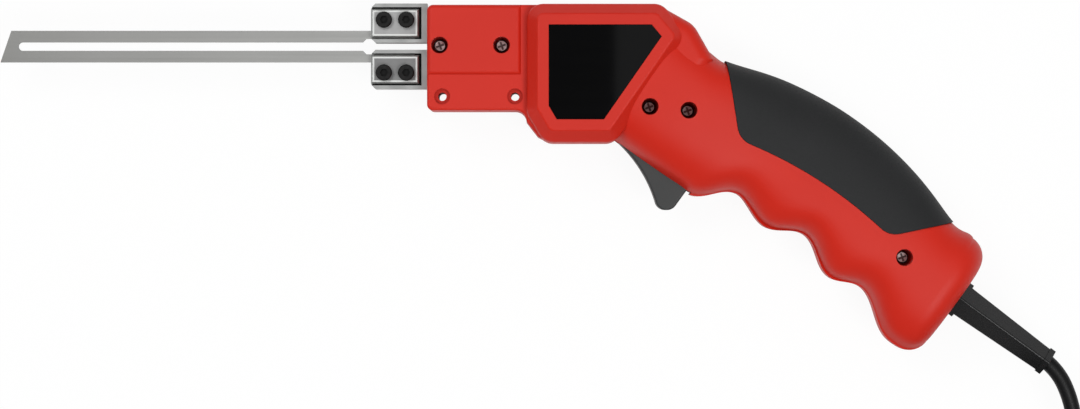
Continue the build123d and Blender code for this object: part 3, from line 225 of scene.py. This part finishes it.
def dress(finish, *names):
    for name in names:
        skin = nodes[name].data.materials
        skin.clear()
        skin.append(finish.material)
    print(finish.material.name, "on", ", ".join(names))


print("shader sums ready")

# %% [markdown]
# ## The studio
# Product pictures like this one are shot on a white table with big soft lamps. The floor is white to the
# camera because its material glows at a strength of 1 for camera rays, with a little plain white mixed in
# so that the tool still leaves a faint shadow. Reflections see mostly the plain white, with its full shadow.
# The lamps and the world carry the light itself, at a level where a colour renders about as it is written.
# The world has grey walls and a bright ring high up, with a dark round opening straight above, where the
# photographer stands. The gloss black badge mirrors only that opening, and stays black, while satin metal
# gathers the whole ring and looks bright. A faint panel fills one side of the opening, so the badge is a
# little paler at that end.

# %% White floor
FLOOR_SIZE = 6.0
CAMERA_GLOW = 0.93
MIRROR_GLOW = 0.2
floor_mesh = bpy.data.meshes.new("floor")
sheet = bmesh.new()
bmesh.ops.create_grid(sheet, x_segments=1, y_segments=1, size=FLOOR_SIZE / 2)
sheet.to_mesh(floor_mesh)
sheet.free()
floor = bpy.data.objects.new("floor", floor_mesh)
bpy.context.scene.collection.objects.link(floor)
floor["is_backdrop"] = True

white = Finish("floor_white", Base_Color=(0.9, 0.9, 0.9), Roughness=0.9)
rays = white.node("ShaderNodeLightPath", out="Is Camera Ray")
shiny = white.node("ShaderNodeLightPath", out="Is Glossy Ray")
clear = white.node("ShaderNodeLightPath", out="Is Transmission Ray")
glow = white.node("ShaderNodeEmission", {}, {"Color": (1, 1, 1, 1), "Strength": 1.0})
seen = rays * CAMERA_GLOW + (shiny + clear) * MIRROR_GLOW
table = white.node("ShaderNodeMixShader", {}, {0: seen, 1: Term(white, white.shader.outputs[0]), 2: glow})
white.plug(white.end.inputs[0], table)
floor_mesh.materials.append(white.material)
print("floor", FLOOR_SIZE, "m wide")

# %% World and lamps
world = bpy.data.worlds.new("studio_world")
bpy.context.scene.world = world
world.use_nodes = True
air = Network(world.node_tree)
way = air.node("ShaderNodeTexCoord", out="Generated")
rise = air.node("ShaderNodeSeparateXYZ", {}, {0: way}, out="Z")
across = air.node("ShaderNodeSeparateXYZ", {}, {0: way}, out="X")
away = air.node("ShaderNodeSeparateXYZ", {}, {0: way}, out="Y")
CEILING = [
    (0.0, 0.36), (0.1, 0.34), (0.2, 0.28), (0.7, 0.3), (0.86, 0.6),
    (0.9, 1.35), (0.965, 1.35), (0.986, 0.03), (1.0, 0.02),
]
OPENING = 0.985
PANEL_EDGE = 0.018
PANEL_GREY = 0.2
LEAN_ACROSS, LEAN_AWAY = 0.1, 0.2
shade = air.node("ShaderNodeValToRGB", {"stops": CEILING}, {0: rise})
panel = (across > PANEL_EDGE) * (rise > OPENING) * PANEL_GREY
lean = 1 + across * LEAN_ACROSS + away * LEAN_AWAY
studio = air.node("ShaderNodeBackground", {}, {"Color": shade * lean + panel})
air.plug(air.tree.nodes.new("ShaderNodeOutputWorld").inputs[0], studio)

TOOL_MIDDLE = Vector((-0.02, -0.04, 0.02))


def lamp(name, place, size, power):
    """A soft rectangular lamp that faces the middle of the tool."""
    light = bpy.data.lights.new(name, "AREA")
    light.shape = "RECTANGLE"
    light.size, light.size_y = size
    light.energy = power
    made = bpy.data.objects.new(name, light)
    aim = TOOL_MIDDLE - Vector(place)
    made.matrix_world = Matrix.Translation(place) @ aim.to_track_quat("-Z", "Y").to_matrix().to_4x4()
    bpy.context.scene.collection.objects.link(made)


lamp("key_softbox", (-0.62, 0.45, 1.35), (0.7, 0.5), 7.0)
lamp("fill_softbox", (0.5, -0.52, 1.35), (0.5, 0.6), 8.5)
print("two lamps and a world with", len(CEILING), "levels of grey")

# %% [markdown]
# ## The mains cord
# The black cord leaves the tapered sleeve, bends down towards the viewer's right and runs off the picture.
# The rest of its 1.6 m lies just outside the view as a neat tied coil with a flat two-pin plug. A cord is
# one smooth line, so it is a NURBS curve with a round bevel. Its control points are the points of the CAD
# route. Near the sleeve they are moved a little to follow the bend in the picture, and every turn of the
# coil has sixteen. Blender widens a curve's box by the radius of its points, so that radius is the cord's
# own, and it scales a bevel that is 1 deep.

# %% Cord route
CORD_DIAMETER = 5.7 * MM
COIL_CENTRE = (146.6, -183.2)
COIL_RADII = [37.2, 33.6, 30.0, 26.4]
COIL_LAYERS = 4
COIL_FLOOR = 3.95
COIL_RISE = 6.3
HALF_TURN_POINTS = 8
SPLINE_PULL = 0.75 + 0.25 * math.cos(math.pi / HALF_TURN_POINTS)
SLEEVE_EXIT = (161.2, -103.6, 23.0)
RUN = [
    SLEEVE_EXIT, (165.2, -107.2, 23.0), (169.3, -116.3, 22.6), (171.4, -126.1, 20.8),
    (174.8, -138.7, 16.5), (180.5, -153.5, 9.8), (183.8, -168.2, COIL_FLOOR),
]
TAIL = [
    (128.8, -218.6, 22.85), (111.8, -217.6, 18.3), (94.3, -215.2, 10.4),
    (77.8, -213.9, 6.9), (63.8, -213.9, 6.9),
]

crossings = []
for layer in range(COIL_LAYERS):
    for radius in COIL_RADII if layer % 2 == 0 else COIL_RADII[::-1]:
        side = 1 if len(crossings) % 2 == 0 else -1
        crossings.append((side * radius, COIL_FLOOR + layer * COIL_RISE))


def coil_points():
    """Half turns between the crossings, as control points a little outside the line."""
    points = []
    for k, ((x0, z0), (x1, z1)) in enumerate(zip(crossings, crossings[1:])):
        middle, radius = (x0 + x1) / 2, abs(x0 - x1) / 2 / SPLINE_PULL
        side = -1 if k % 2 == 0 else 1
        steps = HALF_TURN_POINTS if k < len(crossings) - 2 else HALF_TURN_POINTS // 2 + 1
        for i in range(steps):
            turn = math.pi * i / HALF_TURN_POINTS
            x = middle + math.copysign(radius, x0) * math.cos(turn)
            y = side * radius * math.sin(turn)
            climb = (1 - math.cos(turn)) / 2
            points.append((COIL_CENTRE[0] + x, COIL_CENTRE[1] + y, z0 + (z1 - z0) * climb))
    return points


route = RUN + coil_points() + TAIL
cord_line = bpy.data.curves.new("mains_cord", "CURVE")
cord_line.dimensions = "3D"
spline = cord_line.splines.new("NURBS")
spline.points.add(len(route) - 1)
for knot, (x, y, z) in zip(spline.points, route):
    knot.co = (x * MM, y * MM, z * MM, 1.0)
    knot.radius = CORD_DIAMETER / 2
spline.order_u = 3
spline.use_endpoint_u = True
cord_line.resolution_u = 6
cord_line.bevel_depth = 1.0
cord_line.bevel_resolution = 6
cord_line.use_fill_caps = True
cord = bpy.data.objects.new("mains_cord", cord_line)
bpy.context.scene.collection.objects.link(cord)
print("cord with", len(route), "control points")

# %% [markdown]
# ## Rings on the plug's neck
# A moulded plug has a few rings round its tapered neck, so that the neck bends without kinking the cord.
# One ring is a small profile spun round the cord's axis.

# %% Neck rings
NECK_RINGS = [(54.6, 5.35), (57.0, 5.1), (59.4, 4.85), (61.8, 4.6)]
RING_RADIUS = 0.75 * MM
RING_SIDES = 8
SPIN_STEPS = 40
PLUG_AXIS = (-213.9, 6.9)
UPRIGHT = Matrix.Rotation(math.pi / 2, 4, "X")
rings = bmesh.new()
for x, radius in NECK_RINGS:
    centre = Vector((x, *PLUG_AXIS)) * MM
    spot = Matrix.Translation(centre + Vector((0, 0, radius * MM)))
    circle = bmesh.ops.create_circle(rings, segments=RING_SIDES, radius=RING_RADIUS, matrix=spot @ UPRIGHT)
    loop = circle["verts"] + list({edge for v in circle["verts"] for edge in v.link_edges})
    bmesh.ops.spin(
        rings, geom=loop, cent=centre, axis=(1, 0, 0), angle=2 * math.pi, steps=SPIN_STEPS, use_merge=True
    )
bmesh.ops.remove_doubles(rings, verts=rings.verts, dist=1e-6)
bmesh.ops.recalc_face_normals(rings, faces=rings.faces)
ring_mesh = bpy.data.meshes.new("plug_neck_rings")
rings.to_mesh(ring_mesh)
rings.free()
for face in ring_mesh.polygons:
    face.use_smooth = True
neck_rings = bpy.data.objects.new("plug_neck_rings", ring_mesh)
bpy.context.scene.collection.objects.link(neck_rings)
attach(neck_rings, "housing")
print("rings", len(NECK_RINGS))

# %% [markdown]
# ## Strap round the coil
# A strip of hook tape holds the coil together at one side. It is pulled tight, so it takes the shortest way
# round the strands, as a rubber band would. That is the convex hull of their outlines, which is one operator
# in bmesh. The two flat ends of the hull are cut off, and the band that is left gets its thickness.

# %% Hull of the strands
STRAP_WIDTH = 8.0 * MM
STRAP_THICK = 1.0 * MM
STRAP_GAP = 0.1 * MM
STRAP_SIDES = 32
SHARP_EDGE = math.radians(40)
snug = CORD_DIAMETER / 2 + STRAP_GAP
strap = bmesh.new()
for x, z in crossings[:-1]:
    if x > 0:
        continue
    for y in (-STRAP_WIDTH / 2, 0.0, STRAP_WIDTH / 2):
        inward = -math.sqrt((x * MM) ** 2 - y ** 2)
        spot = Matrix.Translation((COIL_CENTRE[0] * MM + inward, COIL_CENTRE[1] * MM + y, z * MM))
        bmesh.ops.create_circle(strap, segments=STRAP_SIDES, radius=snug, matrix=spot @ UPRIGHT)
bmesh.ops.convex_hull(strap, input=strap.verts)
ends = [face for face in strap.faces if abs(face.normal.y) > 0.5]
bmesh.ops.delete(strap, geom=ends, context="FACES")
bmesh.ops.delete(strap, geom=[edge for edge in strap.edges if not edge.link_faces], context="EDGES")
bmesh.ops.delete(strap, geom=[v for v in strap.verts if not v.link_faces], context="VERTS")
bmesh.ops.recalc_face_normals(strap, faces=strap.faces)
bmesh.ops.solidify(strap, geom=strap.faces, thickness=-STRAP_THICK)
strap_mesh = bpy.data.meshes.new("tie_strap")
strap.to_mesh(strap_mesh)
strap.free()
for face in strap_mesh.polygons:
    face.use_smooth = True
strap_mesh.set_sharp_from_angle(angle=SHARP_EDGE)
tie_strap = bpy.data.objects.new("tie_strap", strap_mesh)
bpy.context.scene.collection.objects.link(tie_strap)
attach(tie_strap, "housing")
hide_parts("cord_tie")
print("strap of", len(strap_mesh.polygons), "faces")

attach(cord, "housing")
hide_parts("power_cord", "cord_coil", "cord_tail")

# %% [markdown]
# ## Red housing
# The two shells are satin red plastic, moulded in a tool whose surface was etched to a fine grain. Up close
# the grain breaks up the highlights, and the colour is a touch uneven where the plastic flowed. A hair-thin
# dark line marks the parting plane.

# %% Housing plastic
SEAM = 0.13 * MM
red = Finish("housing_red", IOR=1.32)
height = red.axis("Z")
seam = (height > PARTING - SEAM) * (height < PARTING + SEAM)
flow = red.noise(28.0, 3.0)
tone = red.blend(flow, (0.53, 0.0145, 0.005), (0.585, 0.0185, 0.007))
red.feed("Base Color", red.blend(seam * 0.6, tone, (0.12, 0.006, 0.005)))
grain = red.noise(2600.0, 2.0)
red.feed("Roughness", 0.40 + grain * 0.12)
red.relief(grain - seam * 3.0, 0.03 * MM, 0.7)
dress(red, "left_shell", "right_shell")

# %% [markdown]
# ## Badge and grip
# The plate on each side of the body is gloss black, as smooth as glass except for faint wipe marks. The pad
# over the back of the handle is soft rubber: darker than the trigger, dull, with a fine pebbled skin.

# %% Badge gloss and grip rubber
gloss = Finish("badge_gloss", IOR=1.48)
wipes = gloss.noise(60.0, 4.0, gloss.place((0.5, 3.0, 1.0), 0.5))
gloss.feed("Base Color", gloss.blend(wipes, (0.0022, 0.0022, 0.0024), (0.0036, 0.0036, 0.0038)))
gloss.feed("Roughness", 0.012 + wipes * 0.02)
dress(gloss, "left_badge", "right_badge")

rubber = Finish("grip_rubber", IOR=1.32)
pebble = rubber.noise(1700.0, 3.0)
patch = rubber.noise(45.0, 2.0)
rubber.feed("Base Color", rubber.blend(patch, (0.0125, 0.013, 0.0135), (0.0185, 0.019, 0.020)))
rubber.feed("Roughness", 0.58 + pebble * 0.16)
rubber.relief(pebble, 0.05 * MM, 0.8)
dress(rubber, "left_grip", "right_grip")

# %% [markdown]
# ## Trigger
# The finger lever is hard dark grey plastic with the same etched grain as the housing, and a slightly uneven
# grey where fingers have rubbed it.

# %% Trigger plastic
lever = Finish("trigger_grey", IOR=1.4)
grit = lever.noise(2300.0, 2.0)
worn = lever.noise(70.0, 2.0)
lever.feed("Base Color", lever.blend(worn, (0.025, 0.027, 0.027), (0.035, 0.037, 0.037)))
lever.feed("Roughness", 0.42 + grit * 0.16)
lever.relief(grit, 0.03 * MM, 0.7)
dress(lever, "trigger")

# %% [markdown]
# ## Blade
# The blade is a strip of resistance alloy, rolled and then rubbed along its length, so it is satin grey with
# fine lines along X. The lines come from noise that is squeezed in the other two directions. The tip gets
# hottest and has dulled a shade.

# %% Rolled strip
strip = Finish("blade_strip", Metallic=1.0)
lines = strip.noise(9.0, 3.0, strip.place((1.0, 160.0, 160.0)))
cloud = strip.noise(30.0, 3.0)
TIP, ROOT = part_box("blade")[0][0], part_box("upper_electrode")[0][0]
along = (strip.axis("X") - TIP) * (1 / (ROOT - TIP))
heated = strip.blend(cloud, (0.165, 0.165, 0.159), (0.195, 0.195, 0.189))
fresh = strip.blend(cloud, (0.28, 0.28, 0.273), (0.32, 0.32, 0.313))
strip.feed("Base Color", strip.blend(along, heated, fresh))
strip.feed("Roughness", 0.30 + lines * 0.16)
strip.relief(lines, 0.01 * MM, 0.5)
dress(strip, "blade")

# %% [markdown]
# ## Clamps
# The blocks and plates that hold the blade are nickel-plated: brighter than the blade, with a fine tumbled
# surface and a few duller stains. Each plate has a rubbed field inside a bright border; the border is a
# painted highlight on the plate's edge, and the lower plate's field is painted a darker grey than the upper
# one's, as painted shade. The groove round each plate is painted near black as painted shade, and the
# block's front is left out of it. The clamp screws are black-oxide steel with an oily sheen, and their
# sockets are painted darker as painted shade. The housing's own screws sit deep in their holes: the edges
# of their heads and their cross slots are painted dark as painted shade, and the middle is painted near
# white as a painted highlight, so a round mask is worked out from each screw's axis.

# %% Nickel blocks and plates
HIGHLIGHT_BORDER = 1.2 * MM
GROOVE = 0.95 * MM
GROOVE_SHADE_DEPTH = 0.25 * MM
UNSHADED_FRONT = 0.1 * MM
# Painted shade: the lower plate's grey is darker than the upper one's, for the same nickel in less light.
for side, grey in (("upper", 0.29), ("lower", 0.175)):
    low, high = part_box(side + "_clamp_plate")
    block = Finish(side + "_block_nickel", Metallic=1.0)
    stain = block.noise(160.0, 3.0)
    front, rim_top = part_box(side + "_electrode")[0][0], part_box(side + "_electrode")[1][2]
    # Painted shade: below the rim, the groove round the plate is darkened near black, but the block's front
    # face is not.
    deep = (block.axis("Z") < rim_top - GROOVE_SHADE_DEPTH) * (block.axis("X") > front + UNSHADED_FRONT)
    groove_shade = block.within(low, high, GROOVE) * deep
    clean = block.blend(stain, (0.32, 0.325, 0.32), (0.41, 0.415, 0.41))
    block.feed("Base Color", block.blend(groove_shade * 0.9, clean, (0.02, 0.019, 0.018)))
    block.feed("Roughness", 0.26 + stain * 0.14 + groove_shade * 0.3)
    block.relief(block.noise(1400.0, 2.0), 0.015 * MM, 0.6)
    dress(block, side + "_electrode")

    plate = Finish(side + "_plate_nickel", Metallic=1.0)
    field = plate.within(low, high, -HIGHLIGHT_BORDER)
    rubbed = plate.noise(220.0, 4.0)
    middle = plate.blend(rubbed, (grey * 0.85,) * 3, (grey * 1.15,) * 3)
    # Painted highlight: the border round the rubbed field is a bright band standing for light on the plate's
    # edge.
    plate.feed("Base Color", plate.blend(field, (0.52, 0.53, 0.52), middle))
    plate.feed("Roughness", 0.42 - field * 0.06 + rubbed * 0.1)
    plate.relief(rubbed, 0.03 * MM, 0.5)
    dress(plate, side + "_clamp_plate")

# %% Screws
SOCKET_DEPTH = 0.3 * MM
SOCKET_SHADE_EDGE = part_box("upper_clamp_screws")[1][2] - SOCKET_DEPTH
oxide = Finish("screw_black", Metallic=0.3, IOR=1.36)
film = oxide.noise(900.0, 2.0)
# Painted shade: the socket below the head's top is painted darker than the oxide round it.
socket = oxide.axis("Z") < SOCKET_SHADE_EDGE
worn_black = oxide.blend(film, (0.003, 0.003, 0.0032), (0.010, 0.0095, 0.009))
oxide.feed("Base Color", oxide.blend(socket, worn_black, (0.0015, 0.0015, 0.0015)))
oxide.feed("Roughness", 0.26 + film * 0.14 + socket * 0.3)
dress(oxide, "upper_clamp_screws", "lower_clamp_screws")

zinc = Finish("screw_zinc", Metallic=1.0)
plating = zinc.noise(700.0, 3.0)
zinc.feed("Base Color", zinc.blend(plating, (0.56, 0.56, 0.53), (0.72, 0.71, 0.66)))
zinc.feed("Roughness", 0.24 + plating * 0.16)
dress(zinc, "cord_clamp_screws", "busbar_screws")

# %% Screws deep in the housing
HEAD_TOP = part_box("housing_screws")[1][2]
SLOT_DEPTH = 0.2 * MM
UNSHADED_RADIUS = 1.75 * MM
SCREW_SPOTS = [(-57.4, 10.2), (-35.3, 10.2), (17.5, -11.8), (31.3, -13.1), (108.1, -65.5)]
sunk = Finish("screw_zinc_sunk", Metallic=0.2)
# Painted shade: outside a small circle round each screw's axis, the head is painted near black for the shadow
# of its deep hole.
unshaded_crown = 0.0
for x, y in SCREW_SPOTS:
    dx, dy = sunk.axis("X") - x * MM, sunk.axis("Y") - y * MM
    unshaded_crown = unshaded_crown + (dx * dx + dy * dy < UNSHADED_RADIUS ** 2)
# Painted shade: the cross slot below the head's top is painted darker.
slot_shade = sunk.axis("Z") < HEAD_TOP - SLOT_DEPTH
# Painted highlight: the crown is near white and hardly metallic, much brighter than the other zinc screws.
lit_zinc = sunk.blend(sunk.noise(700.0, 3.0), (0.9, 0.89, 0.88), (0.97, 0.96, 0.95))
head_with_slot_shade = sunk.blend(slot_shade, lit_zinc, (0.30, 0.25, 0.24))
sunk.feed("Base Color", sunk.blend(unshaded_crown, (0.045, 0.032, 0.03), head_with_slot_shade))
sunk.feed("Roughness", 0.6 - unshaded_crown * 0.3 + slot_shade * 0.2)
dress(sunk, "housing_screws")

# %% [markdown]
# ## Cord, sleeve and plug
# These are all black vinyl or rubber. The cord's jacket is satin from the die that it was drawn through, the
# moulded sleeve and plug are glossier, and the strap is woven hook tape.

# %% Black vinyl
jacket = Finish("cord_jacket", IOR=1.27)
drawn = jacket.noise(800.0, 2.0)
soft = jacket.noise(60.0)
jacket.feed("Base Color", jacket.blend(soft, (0.004, 0.004, 0.0043), (0.0068, 0.0068, 0.0072)))
jacket.feed("Roughness", 0.36 + drawn * 0.14)
jacket.relief(drawn, 0.02 * MM, 0.5)
cord_line.materials.append(jacket.material)
dress(jacket, "inner_cord")

moulded = Finish("sleeve_vinyl", IOR=1.45)
skin = moulded.noise(1500.0, 3.0)
mottle = moulded.noise(80.0)
moulded.feed("Base Color", moulded.blend(mottle, (0.003, 0.003, 0.0033), (0.006, 0.006, 0.0064)))
moulded.feed("Roughness", 0.2 + skin * 0.12)
moulded.relief(skin, 0.02 * MM, 0.4)
dress(moulded, "cord_sleeve", "plug_body")
ring_mesh.materials.append(moulded.material)

tape = Finish("tie_tape")
weave = tape.node("ShaderNodeTexChecker", {}, {"Vector": tape.place(), "Scale": 1600.0}, out="Fac")
tape.feed("Base Color", tape.blend(weave, (0.012, 0.012, 0.013), (0.03, 0.03, 0.031)))
tape.feed("Roughness", 0.8 + weave * 0.1)
tape.relief(weave, 0.08 * MM, 0.7)
strap_mesh.materials.append(tape.material)
print("tie_tape on tie_strap")

pins = Finish("pin_nickel", Metallic=1.0)
turned = pins.noise(1.0, 2.0, pins.place((1800.0, 60.0, 60.0)))
pins.feed("Base Color", pins.blend(turned, (0.62, 0.61, 0.57), (0.78, 0.77, 0.72)))
pins.feed("Roughness", 0.18 + turned * 0.12)
dress(pins, "plug_pins")

# %% [markdown]
# ## Inside the housing
# Nothing of this shows in the portrait, but the part is whole: a ribbed insulator, the laminated core, its
# bobbin and winding, the heavy copper turn that feeds the blade, the switch, the spring and three wires.

# %% Inner finishes
ceramic = Finish("insulator_tan")
fleck = ceramic.noise(900.0, 2.0)
ceramic.feed("Base Color", ceramic.blend(fleck, (0.30, 0.22, 0.13), (0.52, 0.42, 0.29)))
ceramic.feed("Roughness", 0.6 + fleck * 0.2)
dress(ceramic, "electrode_insulator", "coil_bobbin")

iron = Finish("core_laminations", Metallic=0.8)
stack = {"Vector": iron.place(), "Scale": 320.0, "Distortion": 0.6}
sheets = iron.node("ShaderNodeTexWave", {"bands_direction": "Y"}, stack)
iron.feed("Base Color", iron.blend(sheets, (0.06, 0.06, 0.065), (0.26, 0.26, 0.27)))
iron.feed("Roughness", 0.4 + sheets * 0.25)
iron.relief(sheets, 0.06 * MM, 0.8)
dress(iron, "transformer_core")

enamel = Finish("winding_enamel", Metallic=0.7)
wound = {"Vector": enamel.place(), "Scale": 500.0, "Distortion": 0.3}
turns = enamel.node("ShaderNodeTexWave", {"bands_direction": "Z"}, wound)
enamel.feed("Base Color", enamel.blend(turns, (0.16, 0.045, 0.015), (0.52, 0.19, 0.07)))
enamel.feed("Roughness", 0.28 + turns * 0.1)
enamel.relief(turns, 0.12 * MM, 0.9)
dress(enamel, "primary_winding")

copper = Finish("bar_copper", Metallic=1.0)
tarnish = copper.noise(120.0, 4.0)
copper.feed("Base Color", copper.blend(tarnish, (0.66, 0.30, 0.16), (0.42, 0.16, 0.07)))
copper.feed("Roughness", 0.26 + tarnish * 0.2)
dress(copper, "secondary_bar")

steel = Finish("spring_steel", Metallic=1.0)
oil = steel.noise(500.0, 2.0)
steel.feed("Base Color", steel.blend(oil, (0.42, 0.42, 0.42), (0.58, 0.58, 0.58)))
steel.feed("Roughness", 0.25 + oil * 0.15)
dress(steel, "trigger_spring", "trigger_pin")

casing = Finish("switch_black")
speck = casing.noise(1200.0, 2.0)
casing.feed("Base Color", casing.blend(speck, (0.016, 0.016, 0.017), (0.03, 0.03, 0.031)))
casing.feed("Roughness", 0.45 + speck * 0.15)
dress(casing, "switch_body", "cord_clamp")

button = Finish("plunger_white")
haze = button.noise(400.0, 2.0)
button.feed("Base Color", button.blend(haze, (0.62, 0.61, 0.57), (0.72, 0.71, 0.68)))
button.feed("Roughness", 0.35 + haze * 0.1)
dress(button, "switch_plunger")

for name, dark, light in (
    ("live_lead", (0.075, 0.028, 0.012), (0.11, 0.045, 0.02)),
    ("neutral_lead", (0.012, 0.06, 0.26), (0.02, 0.09, 0.36)),
    ("switch_lead", (0.012, 0.012, 0.012), (0.024, 0.024, 0.024)),
):
    wire = Finish(name + "_jacket")
    sheen = wire.noise(700.0, 2.0)
    wire.feed("Base Color", wire.blend(sheen, dark, light))
    wire.feed("Roughness", 0.4 + sheen * 0.15)
    dress(wire, name)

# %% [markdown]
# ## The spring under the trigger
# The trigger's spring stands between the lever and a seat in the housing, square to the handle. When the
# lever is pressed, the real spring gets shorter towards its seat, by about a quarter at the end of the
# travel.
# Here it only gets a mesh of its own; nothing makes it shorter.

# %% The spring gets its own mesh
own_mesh(nodes["trigger_spring"])

# %% [markdown]
# ## Size
# The box round everything that is rendered, the floor left out, is printed.

# %% Box of the dressed tool
bpy.context.view_layer.update()
low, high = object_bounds()
print("visual box", [round(v / MM, 1) for v in low], [round(v / MM, 1) for v in high])
